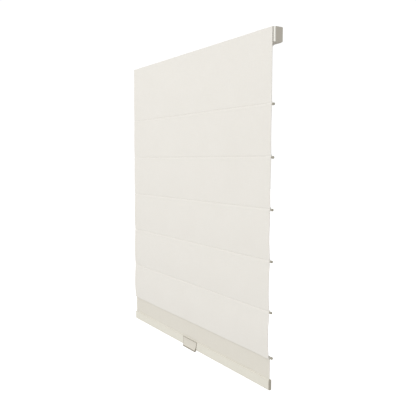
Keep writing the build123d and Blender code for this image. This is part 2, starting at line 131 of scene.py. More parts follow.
layers = {
    "face": 0.0009,        # thickness of the face cloth
    "liner": 0.0005,
    "gap": 0.0001,         # between the two
}
clothFront = hookLow.y - layers["liner"] - layers["gap"] - layers["face"]

cameraValues = {
    "fromCorner": (1.2566, -1.0250, -0.3840),   # from the cloth's top right front corner
    "yaw": -57.22,
    "pitch": -4.769,
    "roll": 0.168,
    "lens": 48.03,
    "sensor": 36,
    "near": 0.05,
    "far": 60,
}


def addCamera(values):
    yaw, pitch, roll = (math.radians(values[name]) for name in ("yaw", "pitch", "roll"))
    ahead = Vector(
        (math.sin(yaw) * math.cos(pitch), math.cos(yaw) * math.cos(pitch), math.sin(pitch))
    )
    right = Vector((math.cos(yaw), -math.sin(yaw), 0))
    up = right.cross(ahead)
    rolledRight = right * math.cos(roll) + up * math.sin(roll)
    rolledUp = up * math.cos(roll) - right * math.sin(roll)
    data = bpy.data.cameras.new("camera")
    data.lens = values["lens"]
    data.sensor_width = values["sensor"]
    data.clip_start = values["near"]
    data.clip_end = values["far"]
    camera = bpy.data.objects.new("camera", data)
    scene.collection.objects.link(camera)
    turn = Matrix((rolledRight, rolledUp, -ahead)).transposed().to_4x4()
    corner = Vector((faceHigh.x, clothFront, faceHigh.z))
    camera.matrix_world = Matrix.Translation(corner + Vector(values["fromCorner"])) @ turn
    scene.camera = camera


addCamera(cameraValues)

studioValues = {
    "floorDrop": 0.35,     # below the shade's lower edge
    "floorSize": 30.0,
    "floorColour": (0.80, 0.80, 0.80),
    "floorRoughness": 0.9,
    "floorSpecular": 0.1,
    "floorGlow": 0.55,     # added only where the camera looks straight at the floor
    "skyStrength": 0.80,
    "skySeen": 1.05,       # what the camera sees of the same white sky
    "keyPlace": (0.5, -4.2, 2.2),
    "keySize": 2.4,
    "keyPower": 85.0,
    "fillPlace": (-2.6, -2.6, 0.4),
    "fillSize": 2.0,
    "fillPower": 8.0,
}


def addLight(name, place, size, power):
    data = bpy.data.lights.new(name, "AREA")
    data.shape = "DISK"
    data.size = size
    data.energy = power
    light = bpy.data.objects.new(name, data)
    scene.collection.objects.link(light)
    aim = Vector((0, clothFront, (faceLow.z + faceHigh.z) / 2)) - Vector(place)
    light.matrix_world = Matrix.Translation(Vector(place)) @ aim.to_track_quat(
        "-Z", "Y"
    ).to_matrix().to_4x4()


def addFloor(values):
    half = values["floorSize"] / 2
    z = cadBox[0].z - values["floorDrop"]
    mesh = bpy.data.meshes.new("floor")
    mesh.from_pydata(
        [(-half, -half, z), (half, -half, z), (half, half, z), (-half, half, z)],
        [],
        [(0, 1, 2, 3)],
    )
    floor = bpy.data.objects.new("floor", mesh)
    scene.collection.objects.link(floor)
    material = bpy.data.materials.new("paleFloor")
    material.use_nodes = True
    shader = material.node_tree.nodes["Principled BSDF"]
    shader.inputs["Base Color"].default_value = (*values["floorColour"], 1)
    shader.inputs["Roughness"].default_value = values["floorRoughness"]
    shader.inputs["Specular IOR Level"].default_value = values["floorSpecular"]
    shader.inputs["Emission Color"].default_value = (1, 1, 1, 1)
    tree = material.node_tree
    seen = tree.nodes.new("ShaderNodeLightPath")
    glow = calc(tree, "MULTIPLY", seen.outputs["Is Camera Ray"], values["floorGlow"])
    tree.links.new(glow, shader.inputs["Emission Strength"])
    mesh.materials.append(material)


def addSky(values):
    world = bpy.data.worlds.new("studio")
    world.use_nodes = True
    tree = world.node_tree
    sky = tree.nodes["Background"]
    sky.inputs["Color"].default_value = (1, 1, 1, 1)
    seen = tree.nodes.new("ShaderNodeLightPath")
    strength = tree.nodes.new("ShaderNodeMix")
    tree.links.new(seen.outputs["Is Camera Ray"], strength.inputs["Factor"])
    strength.inputs["A"].default_value = values["skyStrength"]
    strength.inputs["B"].default_value = values["skySeen"]
    tree.links.new(strength.outputs["Result"], sky.inputs["Strength"])
    scene.world = world


addFloor(studioValues)
addSky(studioValues)
for name in ("key", "fill"):
    addLight(f"{name}Light", *(studioValues[name + part] for part in ("Place", "Size", "Power")))
scene.view_settings.view_transform = "Standard"
scene.view_settings.look = "None"
print("camera, floor and lights placed")

# Shader groups, placed in each finish with its own values


weaveValues = {
    "slubAlong": 26.0,     # noise scale along a thread
    "slubAcross": 900.0,   # and across it
    "cloudScale": 9.0,     # slow change of tone over the cloth
    "cloudShare": 0.25,
}
grainValues = {"finer": 3.1, "fineShare": 0.4, "cloudScale": 35.0}
drawnValues = {"along": 18.0, "across": 2600.0, "cloudScale": 60.0}
# Width shares for the painted shadow line round the handle
shadowLineEdge = (0.7, 1.3)        # the line fades out between these shares of its width


def makeWeave():
    # Warp and weft threads cross: each is |sin| across its width, and the sign of the product of
    # the two sines says which lies on top. Long thin noise along each gives the slubs.
    group, start, end = startGroup(
        "plainWeave",
        [("Cloth", vectorKind, None), ("Threads", number, 1400.0), ("Slubs", number, 0.5)],
        ["Height", "Tone"],
    )
    parts = nodeIn(group, "ShaderNodeSeparateXYZ")
    group.links.new(start.outputs["Cloth"], parts.inputs[0])
    turns = calc(group, "MULTIPLY", start.outputs["Threads"], math.pi)
    across = calc(group, "SINE", calc(group, "MULTIPLY", parts.outputs["X"], turns))
    along = calc(group, "SINE", calc(group, "MULTIPLY", parts.outputs["Y"], turns))
    onTop = calc(group, "GREATER_THAN", calc(group, "MULTIPLY", across, along), 0.0)
    warp = calc(group, "MULTIPLY", calc(group, "ABSOLUTE", across), onTop)
    under = calc(group, "SUBTRACT", 1.0, onTop)
    weft = calc(group, "MULTIPLY", calc(group, "ABSOLUTE", along), under)
    v = weaveValues
    wefts = scaled(group, start.outputs["Cloth"], (v["slubAlong"], v["slubAcross"], 1.0))
    warps = scaled(group, start.outputs["Cloth"], (v["slubAcross"], v["slubAlong"], 1.0))
    slubAcross = noise(group, wefts, 1.0)
    slubAlong = noise(group, warps, 1.0)
    slubs = calc(group, "SUBTRACT", calc(group, "ADD", slubAcross, slubAlong), 1.0)
    slubs = calc(group, "MULTIPLY", slubs, start.outputs["Slubs"])
    height = calc(group, "ADD", calc(group, "ADD", warp, weft), slubs)
    group.links.new(height, end.inputs["Height"])
    cloudy = noise(group, start.outputs["Cloth"], v["cloudScale"], 3.0)
    fromMiddle = calc(group, "SUBTRACT", cloudy, 0.5)
    tone = calc(group, "MULTIPLY_ADD", fromMiddle, v["cloudShare"], 0.5)
    tone = calc(group, "ADD", tone, slubs)
    group.links.new(tone, end.inputs["Tone"])
    return group


def makeGrain():
    # Fine moulded or sprayed texture: two sizes of noise, the finer one weaker
    group, start, end = startGroup(
        "fineGrain",
        [("Place", vectorKind, None), ("Size", number, 0.001)],
        ["Height", "Tone"],
    )
    scale = calc(group, "DIVIDE", 1.0, start.outputs["Size"])
    coarse = noise(group, start.outputs["Place"], scale, 2.0)
    fineScale = calc(group, "MULTIPLY", scale, grainValues["finer"])
    fine = noise(group, start.outputs["Place"], fineScale, 1.0)
    height = calc(group, "MULTIPLY_ADD", fine, grainValues["fineShare"], coarse)
    group.links.new(height, end.inputs["Height"])
    cloudy = noise(group, start.outputs["Place"], grainValues["cloudScale"], 3.0)
    group.links.new(cloudy, end.inputs["Tone"])
    return group


def makeDrawn():
    # Drawn or rolled metal: noise stretched long along X, with fine lines across it
    group, start, end = startGroup(
        "drawnLines", [("Place", vectorKind, None)], ["Height", "Tone"]
    )
    v = drawnValues
    stretched = scaled(group, start.outputs["Place"], (v["along"], v["across"], v["across"]))
    lines = noise(group, stretched, 1.0, 3.0)
    group.links.new(lines, end.inputs["Height"])
    cloudy = noise(group, start.outputs["Place"], v["cloudScale"], 2.0)
    group.links.new(cloudy, end.inputs["Tone"])
    return group


def makePile():
    # Touch tape: bristles or loops are Voronoi cells, each highest at its own middle
    group, start, end = startGroup(
        "tapePile",
        [("Place", vectorKind, None), ("Pitch", number, 0.0012)],
        ["Height", "Tone"],
    )
    cells = nodeIn(group, "ShaderNodeTexVoronoi")
    group.links.new(start.outputs["Place"], cells.inputs["Vector"])
    scale = calc(group, "DIVIDE", 1.0, start.outputs["Pitch"])
    group.links.new(scale, cells.inputs["Scale"])
    height = calc(group, "SUBTRACT", 1.0, cells.outputs["Distance"])
    group.links.new(height, end.inputs["Height"])
    # The tone is darkest low between the cells: painted shade
    group.links.new(calc(group, "POWER", height, 2.0), end.inputs["Tone"])
    return group


def makeShadowLine():
    # A painted shadow line that follows the outline of a flat tapered plate that is even about X: how
    # near the place is to the top, the foot or a slanted side, against the line's width
    group, start, end = startGroup(
        "plateShadowLine",
        [("Place", vectorKind, None), ("Top", number, 0.0), ("Foot", number, 0.0),
         ("Half Width", number, 0.05), ("Taper", number, 0.0), ("Line", number, 0.001)],
        ["Mask"],
    )
    parts = nodeIn(group, "ShaderNodeSeparateXYZ")
    group.links.new(start.outputs["Place"], parts.inputs[0])
    down = calc(group, "SUBTRACT", start.outputs["Top"], parts.outputs["Z"])
    fromFoot = calc(group, "SUBTRACT", parts.outputs["Z"], start.outputs["Foot"])
    reach = calc(group, "SUBTRACT", start.outputs["Half Width"],
                 calc(group, "MULTIPLY", down, start.outputs["Taper"]))
    fromSide = calc(group, "SUBTRACT", reach, calc(group, "ABSOLUTE", parts.outputs["X"]))
    nearest = calc(group, "MINIMUM", calc(group, "MINIMUM", down, fromFoot), fromSide)
    share = calc(group, "DIVIDE", nearest, start.outputs["Line"])
    soft = nodeIn(group, "ShaderNodeMapRange", interpolation_type="SMOOTHSTEP")
    group.links.new(share, soft.inputs["Value"])
    soft.inputs["From Min"].default_value = shadowLineEdge[0]
    soft.inputs["From Max"].default_value = shadowLineEdge[1]
    soft.inputs["To Min"].default_value = 1.0
    soft.inputs["To Max"].default_value = 0.0
    group.links.new(soft.outputs["Result"], end.inputs["Mask"])
    return group


weaveGroup = makeWeave()
shadowLineGroup = makeShadowLine()
grainGroup = makeGrain()
drawnGroup = makeDrawn()
pileGroup = makePile()
print("shader groups built")


def painted(tree, colour, mask, paint):
    # Lays a plain colour over the surface's own where the mask is 1
    over = nodeIn(tree, "ShaderNodeMix", data_type="RGBA")
    tree.links.new(mask, over.inputs["Factor"])
    tree.links.new(colour, over.inputs["A"])
    over.inputs["B"].default_value = (*paint, 1)
    return over.outputs["Result"]


def finishMaterial(name, group, values):
    # One Principled surface: tone mixes the two colours, height feeds the bump
    material = bpy.data.materials.new(name)
    material.use_nodes = True
    tree = material.node_tree
    shader = tree.nodes["Principled BSDF"]
    for label, value in values.get("shader", {}).items():
        shader.inputs[label].default_value = value
    effect = nodeIn(tree, "ShaderNodeGroup", node_tree=group)
    if "uv" in values:
        place = nodeIn(tree, "ShaderNodeUVMap", uv_map=values["uv"]).outputs["UV"]
    else:
        place = nodeIn(tree, "ShaderNodeTexCoord").outputs["Object"]
    tree.links.new(place, effect.inputs[0])
    for label, value in values.get("group", {}).items():
        effect.inputs[label].default_value = value
    ramp = nodeIn(tree, "ShaderNodeMix", data_type="RGBA")
    tree.links.new(effect.outputs["Tone"], ramp.inputs["Factor"])
    ramp.inputs["A"].default_value = (*values["dark"], 1)
    ramp.inputs["B"].default_value = (*values["light"], 1)
    colour = ramp.outputs["Result"]
    if "paintedLightBand" in values:
        # The band along the front, up to a depth, is painted paler: painted light on the front face
        # of the cap
        parts = nodeIn(tree, "ShaderNodeSeparateXYZ")
        tree.links.new(place, parts.inputs[0])
        inFront = calc(tree, "LESS_THAN", parts.outputs["Y"], values["paintedLightBand"])
        colour = painted(tree, colour, inFront, values["paintedLightColour"])
    # A dark line round the handle's top, foot and sides: painted shadow along its edges
    if "shadowLine" in values:
        shadowLine = nodeIn(tree, "ShaderNodeGroup", node_tree=shadowLineGroup)
        tree.links.new(place, shadowLine.inputs[0])
        for label, value in values["shadowLine"].items():
            shadowLine.inputs[label].default_value = value
        colour = painted(tree, colour, shadowLine.outputs["Mask"], values["shadowLineColour"])
    tree.links.new(colour, shader.inputs["Base Color"])
    low, high = values["roughness"]
    rough = calc(tree, "MULTIPLY_ADD", effect.outputs["Tone"], high - low, low)
    tree.links.new(rough, shader.inputs["Roughness"])
    bump = nodeIn(tree, "ShaderNodeBump")
    bump.inputs["Strength"].default_value = values["bump"][0]
    bump.inputs["Distance"].default_value = values["bump"][1]
    tree.links.new(effect.outputs["Height"], bump.inputs["Height"])
    tree.links.new(bump.outputs["Normal"], shader.inputs["Normal"])
    return material


clothLook = {
    "uv": "clothMetres",
    "shader": {"Specular IOR Level": 0.2, "Sheen Weight": 0.12, "Sheen Roughness": 0.5},
}
faceLook = {
    **clothLook, "roughness": (0.95, 0.82), "bump": (0.35, 0.00025),
    "group": {"Threads": 1500.0, "Slubs": 0.45},
}
handleLow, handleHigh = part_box("lift_handle")
handleValues = {
    "lip": 0.0036,         # height of the lip at the handle's foot, below the line
    "narrower": 0.008,     # each side comes in this far from the top to the foot
    "line": 0.0017,
}
# The end cap's pale front band is painted light
paintedLightDepth = 0.0032          # depth of the paler band along the front of an end cap

finishes = {
    "faceCloth": (weaveGroup, {
        **faceLook, "dark": (0.697, 0.668, 0.610), "light": (0.780, 0.760, 0.718),
    }),
    # Painted shade: the face cloth made darker and yellower for the skirt below the last fold
    "shadedSkirtCloth": (weaveGroup, {
        **faceLook, "dark": (0.638, 0.603, 0.527), "light": (0.716, 0.692, 0.625),
    }),
    # Painted shade: the face cloth made darker and yellower for the hem
    "shadedHemCloth": (weaveGroup, {
        **faceLook, "dark": (0.664, 0.634, 0.549), "light": (0.744, 0.724, 0.646),
    }),
    "linerCloth": (weaveGroup, {
        **clothLook, "dark": (0.820, 0.805, 0.765), "light": (0.885, 0.875, 0.845),
        "roughness": (0.80, 0.62), "bump": (0.2, 0.00012),
        "group": {"Threads": 2400.0, "Slubs": 0.25},
    }),
    "pocketTape": (weaveGroup, {
        **clothLook, "dark": (0.800, 0.785, 0.745), "light": (0.875, 0.862, 0.830),
        "roughness": (0.85, 0.7), "bump": (0.3, 0.0002),
        "group": {"Threads": 1900.0, "Slubs": 0.3},
    }),
    # The stitches are real thread; their dark colour is painted shade along the seam lines
    "thread": (grainGroup, {
        "dark": (0.470, 0.440, 0.375), "light": (0.550, 0.520, 0.450), "roughness": (0.6, 0.75),
        "bump": (0.3, 0.0001), "group": {"Size": 0.0004},
    }),
    "braidedCord": (grainGroup, {
        "dark": (0.860, 0.855, 0.825), "light": (0.935, 0.930, 0.910), "roughness": (0.55, 0.7),
        "bump": (0.3, 0.00008), "group": {"Size": 0.00035},
    }),
    "powderCoat": (grainGroup, {
        "dark": (0.430, 0.398, 0.338), "light": (0.485, 0.452, 0.388), "roughness": (0.42, 0.55),
        "bump": (0.22, 0.00012), "group": {"Size": 0.0007},
    }),
    "endCapPlastic": (grainGroup, {
        "dark": (0.468, 0.434, 0.370), "light": (0.525, 0.490, 0.422), "roughness": (0.48, 0.6),
        "bump": (0.25, 0.00015), "group": {"Size": 0.0009},
        # Painted light: a pale band along the cap's front face, against its darker end face
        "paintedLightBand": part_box("end_cap_right")[0].y + paintedLightDepth,
        "paintedLightColour": (0.800, 0.780, 0.720),
    }),
    "ribCapPlastic": (grainGroup, {
        "dark": (0.360, 0.335, 0.270), "light": (0.420, 0.392, 0.322), "roughness": (0.45, 0.6),
        "bump": (0.2, 0.0001), "group": {"Size": 0.0006},
    }),
    "railCapPlastic": (grainGroup, {
        "dark": (0.375, 0.345, 0.280), "light": (0.420, 0.388, 0.320), "roughness": (0.45, 0.6),
        "bump": (0.2, 0.0001), "group": {"Size": 0.0007},
    }),
    "handlePlastic": (grainGroup, {
        "dark": (0.605, 0.572, 0.494), "light": (0.662, 0.628, 0.548), "roughness": (0.4, 0.52),
        "bump": (0.22, 0.0001), "group": {"Size": 0.0006},
        # Painted shadow: a dark line round the handle's outline
        "shadowLine": {"Top": handleHigh.z, "Foot": handleLow.z + handleValues["lip"],
                   "Half Width": handleHigh.x, "Line": handleValues["line"],
                   "Taper": handleValues["narrower"] / (handleHigh.z - handleLow.z)},
        "shadowLineColour": (0.300, 0.270, 0.215),
    }),
    "bracketPaint": (grainGroup, {
        "dark": (0.720, 0.710, 0.670), "light": (0.790, 0.780, 0.745), "roughness": (0.38, 0.5),
        "bump": (0.2, 0.0001), "group": {"Size": 0.0012},
    }),
    "acetal": (grainGroup, {
        "dark": (0.820, 0.820, 0.800), "light": (0.880, 0.880, 0.862), "roughness": (0.3, 0.4),
        "bump": (0.1, 0.00005), "group": {"Size": 0.0012},
    }),
    "mouldedWhite": (grainGroup, {
        "dark": (0.760, 0.752, 0.715), "light": (0.820, 0.812, 0.778), "roughness": (0.42, 0.55),
        "bump": (0.2, 0.0001), "group": {"Size": 0.0009},
    }),
    "fibreglass": (drawnGroup, {
        "dark": (0.780, 0.770, 0.720), "light": (0.850, 0.840, 0.795), "roughness": (0.25, 0.4),
        "bump": (0.15, 0.00008),
    }),
    "drawnSteel": (drawnGroup, {
        "dark": (0.500, 0.500, 0.500), "light": (0.640, 0.640, 0.640), "roughness": (0.22, 0.38),
        "bump": (0.15, 0.00006), "shader": {"Metallic": 1.0},
    }),
    "springSteel": (drawnGroup, {
        "dark": (0.380, 0.395, 0.420), "light": (0.540, 0.555, 0.580), "roughness": (0.2, 0.34),
        "bump": (0.2, 0.00006), "shader": {"Metallic": 1.0},
    }),
    "hookPile": (pileGroup, {
        "dark": (0.660, 0.645, 0.600), "light": (0.860, 0.850, 0.815), "roughness": (0.95, 0.8),
        "bump": (0.8, 0.0006), "group": {"Pitch": 0.0013},
    }),
    "loopPile": (pileGroup, {
        "dark": (0.700, 0.685, 0.640), "light": (0.880, 0.870, 0.835), "roughness": (1.0, 0.9),
        "bump": (0.6, 0.0005), "group": {"Pitch": 0.0008},
    }),
}
finish = {name: finishMaterial(name, group, values) for name, (group, values) in finishes.items()}

# What each kept node of the frame is finished in, by the start of its name
nodeFinishes = {
    "headrail": "powderCoat", "end_cap": "endCapPlastic", "bracket": "bracketPaint",
    "loop_tape": "loopPile", "hook_tape": "hookPile", "motor": "mouldedWhite",
    "drum_axle": "drawnSteel", "spring_strip": "springSteel", "spring_coil": "springSteel",
    "storage_drum": "acetal", "output_drum": "acetal", "spool": "acetal",
    "cradle": "mouldedWhite", "drive_shaft": "drawnSteel", "rib_rod": "fibreglass",
    "rib_caps": "ribCapPlastic", "cord_rings": "acetal", "bottom_rail": "powderCoat",
    "rail_cap": "railCapPlastic", "lift_handle": "handlePlastic",
    "handle_rivets": "mouldedWhite", "cord_anchors": "acetal",
}
for nodeName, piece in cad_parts.items():
    for start, finishName in nodeFinishes.items():
        if nodeName.startswith(start):
            piece.data.materials.clear()
            piece.data.materials.append(finish[finishName])
print("finishes made and put on the frame's nodes")

# Mesh helpers


def addPiece(name, points, faces, material, uv=None, smooth=None):
    # points is an array of places, faces an array of four corners each
    mesh = bpy.data.meshes.new(name)
    mesh.vertices.add(len(points))
    mesh.vertices.foreach_set("co", points.astype(np.float32).ravel())
    mesh.loops.add(faces.size)
    mesh.loops.foreach_set("vertex_index", faces.astype(np.int32).ravel())
    mesh.polygons.add(len(faces))
    mesh.polygons.foreach_set("loop_start", np.arange(0, faces.size, 4, dtype=np.int32))
    mesh.update(calc_edges=True)
    if smooth is None:
        smooth = np.ones(len(faces), bool)
    mesh.polygons.foreach_set("use_smooth", smooth)
    if uv is not None:
        layer = mesh.uv_layers.new(name="clothMetres")
        layer.data.foreach_set("uv", uv[faces.ravel()].astype(np.float32).ravel())
    mesh.materials.append(finish[material])
    mesh.validate()
    mesh.update()
    piece = bpy.data.objects.new(name, mesh)
    scene.collection.objects.link(piece)
    return piece


def gridFaces(rows, columns, offset=0, closeColumns=False):
    # Corners of the quads of a grid stored row by row; a closed grid joins its last column to its
    # first
    r = np.arange(rows - 1)[:, None]
    c = np.arange(columns if closeColumns else columns - 1)[None, :]
    across = (c + 1) % columns
    corners = (r * columns + c, (r + 1) * columns + c, (r + 1) * columns + across,
               r * columns + across)
    return np.stack(corners, -1).reshape(-1, 4) + offset


def ribbonFaces(first, second, closed=False):
    # Quads between two equal rows of vertex numbers
    if closed:
        first, second = np.append(first, first[0]), np.append(second, second[0])
    return np.stack([first[:-1], second[:-1], second[1:], first[1:]], -1)


def closedSheet(front, back):
    # Joins a front grid and a back grid of the same size into one closed shell. Returns points,
    # faces and which faces are the rim's.
    rows, columns = front.shape[:2]
    count = rows * columns
    index = np.arange(count).reshape(rows, columns)
    faces = [gridFaces(rows, columns), gridFaces(rows, columns, count)[:, ::-1]]
    rim = [
        ribbonFaces(index[0] + count, index[0]),
        ribbonFaces(index[-1], index[-1] + count),
        ribbonFaces(index[:, 0], index[:, 0] + count),
        ribbonFaces(index[:, -1] + count, index[:, -1]),
    ]
    points = np.concatenate([front.reshape(-1, 3), back.reshape(-1, 3)])
    wide = sum(len(f) for f in faces)
    faces = np.concatenate(faces + rim)
    return points, faces, np.arange(len(faces)) < wide


def outward(piece):
    # Turns the faces outwards if the shell's signed volume says that they point in
    mesh = piece.data
    mesh.calc_loop_triangles()
    triangles = np.empty(len(mesh.loop_triangles) * 3, np.int32)
    mesh.loop_triangles.foreach_get("vertices", triangles)
    points = np.empty(len(mesh.vertices) * 3)
    mesh.vertices.foreach_get("co", points)
    a, b, c = points.reshape(-1, 3)[triangles.reshape(-1, 3)].transpose(1, 0, 2)
    if np.einsum("ij,ij->i", a, np.cross(b, c)).sum() < 0:
        mesh.flip_normals()
    return piece


# Where the ribs, seams and folds are

clothValues = {
    "bulges": (0.0008, 0.0012, 0.0014, 0.0024, 0.0032, 0.0034),   # how far each fold stands out
    "bulgeLow": 1.25,          # above 1 the fold is fullest below its middle
    "seamDip": 0.0008,         # how deep the stitch line pulls the cloth in
    "seamHalf": 0.0022,
    "seamAboveRib": 0.0031,    # the stitch line lies just over the rod
    "ribRise": 0.0004,         # how far the rod in its pocket pushes the cloth out
    "ribHalf": 0.0040,
    "ribRiseBelow": 0.0030,
    "lastFoldDrop": 0.0015,    # the last fold hangs this far below its rib
    "foldInner": 0.00155,      # from the cloth's front to the middle of the turned-up fold
    "returnTop": 0.0020,       # the turned-up cloth goes this far above its seam
    "ripple": 0.00045,         # slow waves in the hanging cloth
    "rippleFade": 0.10,        # they die out over this height below the headrail
    "sideHem": 0.028,
    "sideHemRise": 0.00022,
    "sideHemStep": 0.0012,     # width of the step where the side hem begins
    "sideHemStepIn": 0.001,
    "sideStitchIn": 0.002,     # its stitch line lies this far inside the step
    "sideStitchDip": 0.0003,
    "sideStitchHalf": 0.0007,
    "edgeRound": 0.0009,       # the outer edge is rounded over this width
    "edgeShare": 0.4,          # by this share of the thickness on each side
    "pocketAboveSeam": 0.002,  # a pocket reaches this far above the edge that two strips share
    "hemAboveFoot": 0.0012,    # the sheet ends this far inside the hem
    "coarseStep": 0.0042,      # spacing of the rows, and close to a rib
    "fineStep": 0.0007,
    "fineReach": 0.010,
    "edgeStep": 0.00004,       # rows this far on either side of a strip's edge
    "leastRow": 0.00025,       # rows nearer than this to the one above are left out
    "clearOfEdge": 0.0003,
    "clearOfTurn": 0.0005,
    "turnRows": 13,            # in each half circle
    "skirtRows": 28,
    "columnStep": 0.011,
    "linerColumnStep": 0.02,
}
ribCount = 6
ribBodies = [f"rib_{n}" for n in range(1, ribCount + 1)]
ribPlaces = []
seamHeights = []
for n in range(1, ribCount + 1):
    low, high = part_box(f"rib_rod_{n}")
    ribPlaces.append(((low.y + high.y) / 2, (low.z + high.z) / 2))
    seamHeights.append(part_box(f"rib_pocket_{n}")[1].z - clothValues["pocketAboveSeam"])
stitchHeights = [ribZ + clothValues["seamAboveRib"] for _, ribZ in ribPlaces]
setBack = ribPlaces[-1][0] - ribPlaces[0][0]
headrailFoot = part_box("headrail")[0].z
halfWidth = faceHigh.x


def foldForward(z, dipShare=1.0):
    # How far the hanging cloth stands in front of its flat plane at height z: in each fold a half
    # sine, skewed downwards, and at each rib a dip at the stitch line and a soft rise at the rod
    v = clothValues
    forward = np.zeros_like(z)
    tops = [headrailFoot] + seamHeights[:-1]
    for top, foot, bulge in zip(tops, seamHeights, v["bulges"]):
        down = np.clip((top - z) / (top - foot), 0, 1)
        forward += bulge * np.sin(np.pi * down ** v["bulgeLow"])
    for (_, ribZ), stitchZ in zip(ribPlaces[:-1], stitchHeights[:-1]):
        dip = dipShare * v["seamDip"]
        forward -= dip * np.exp(-(((z - stitchZ) / v["seamHalf"]) ** 2))
        riseZ = ribZ - v["ribRiseBelow"]
        forward += v["ribRise"] * np.exp(-(((z - riseZ) / v["ribHalf"]) ** 2))
    return forward


def spacedOut(z, stops):
    # Row heights from the top down, thinned out near each stop, where a row lies exactly on the
    # stop and one close on either side of it, so that a strip's rim doesn't round its shading
    v = clothValues
    stops = np.array(stops)
    z = np.unique(np.round(z, 6))[::-1]
    z = z[np.concatenate([[True], np.diff(z) < -v["leastRow"]])]
    z = z[np.abs(z[:, None] - stops[None, :]).min(1) > v["clearOfEdge"]]
    edge = v["edgeStep"]
    return np.sort(np.concatenate([z, stops, stops - edge, stops + edge]))[::-1]


def clothLine(thickness, depth, dipShare):
    # The sheet's middle line seen from the side, from the top edge to the hem: down the folds, a
    # half circle under the last one, up behind it, a half circle over its seam and down the skirt
    v = clothValues
    inside = depth + thickness / 2
    turnZ = ribPlaces[-1][1] - v["lastFoldDrop"] + v["foldInner"]
    topZ = seamHeights[-1] + v["returnTop"]
    heights = [np.arange(faceHigh.z, turnZ, -v["coarseStep"])]
    for (_, ribZ), seamZ in zip(ribPlaces[:-1], seamHeights[:-1]):
        heights.append(np.arange(ribZ - v["fineReach"], seamZ + v["fineReach"] / 2, v["fineStep"]))
    z = spacedOut(np.concatenate(heights), [faceHigh.z] + foldStops)
    z = z[(z <= faceHigh.z) & (z > turnZ + v["clearOfTurn"])]
    y = clothFront + inside - foldForward(z, dipShare)
    half = np.linspace(0, np.pi, v["turnRows"])
    underR = v["foldInner"] - inside
    underY = clothFront + v["foldInner"]
    under = (underY - underR * np.cos(half), turnZ - underR * np.sin(half))
    overY = clothFront + v["foldInner"] + setBack / 2
    overR = setBack / 2 - v["foldInner"] + inside
    over = (overY - overR * np.cos(half), topZ + overR * np.sin(half) - overR)
    foot = hemHigh.z - v["hemAboveFoot"]
    hang = np.linspace(topZ, foot, v["skirtRows"])[2:-1]
    hang = spacedOut(hang, [seamHeights[-1], skirtStop, foot])
    hang = hang[(hang < topZ - overR - v["clearOfEdge"]) & (hang >= foot)]
    y = np.concatenate([y, under[0], over[0], np.full(len(hang), clothFront + setBack + inside)])
    z = np.concatenate([z, under[1], over[1], hang])
    onSkirt = np.arange(len(z)) >= len(z) - len(hang)
    return y, z, int(np.argmin(np.abs(z - seamHeights[-1]) + ~onSkirt))


def midway(top, foot, share):
    return top + (foot - top) * share


raised = {
    "forward": 0.026,      # how far the folds stand out when the shade is up
    "skirtForward": 0.010,
    "innerGap": 0.0052,    # the liner's crease stays this far behind the face's
    "upperShare": 0.52,    # of a fold's cloth above its crease
    "droop": 0.62,         # of the closed fold's height above its crease
}
foldTops = [faceHigh.z] + seamHeights[:-1]
foldStops = [midway(top, foot, raised["upperShare"]) for top, foot in zip(foldTops, seamHeights)]
foldStops += seamHeights[:-1]
skirtStop = midway(seamHeights[-1], hemHigh.z, raised["upperShare"])


# Distances of the close columns from each side: at the rounded edge, then at the side hem's step
sidePlaces = np.array([0, 0.00015, 0.0004, 0.0009, 0.003, 0.009, 0.016, 0.022, 0.0245, 0.0255,
                       0.0265, 0.0272, 0.028, 0.0288, 0.030, 0.032])
sideReach = 0.034              # the even columns begin here


def sideColumns(step):
    # Places along the width: even steps, with more of them at the side hems and the very edges
    first = -halfWidth + sideReach
    inner = np.linspace(first, halfWidth - sideReach, int((2 * halfWidth) / step))
    return np.concatenate([sidePlaces - halfWidth, inner, halfWidth - sidePlaces[::-1]])


# Share of each wave, its turns in radians a metre across and down, and where it starts
rippleWaves = ((1.0, 8.1, 3.7, 0.8), (0.7, 17.3, -9.1, 2.1), (0.5, 5.2, 21.0, 4.0))


def rippleAt(x, z):
    # Slow waves that die out at the headrail: a sum of sines of different length and slant
    waves = sum(share * np.sin(across * x + down * z + start)
                for share, across, down, start in rippleWaves)
    fade = np.clip((headrailFoot - z) / clothValues["rippleFade"], 0, 1)
    return clothValues["ripple"] * waves * fade


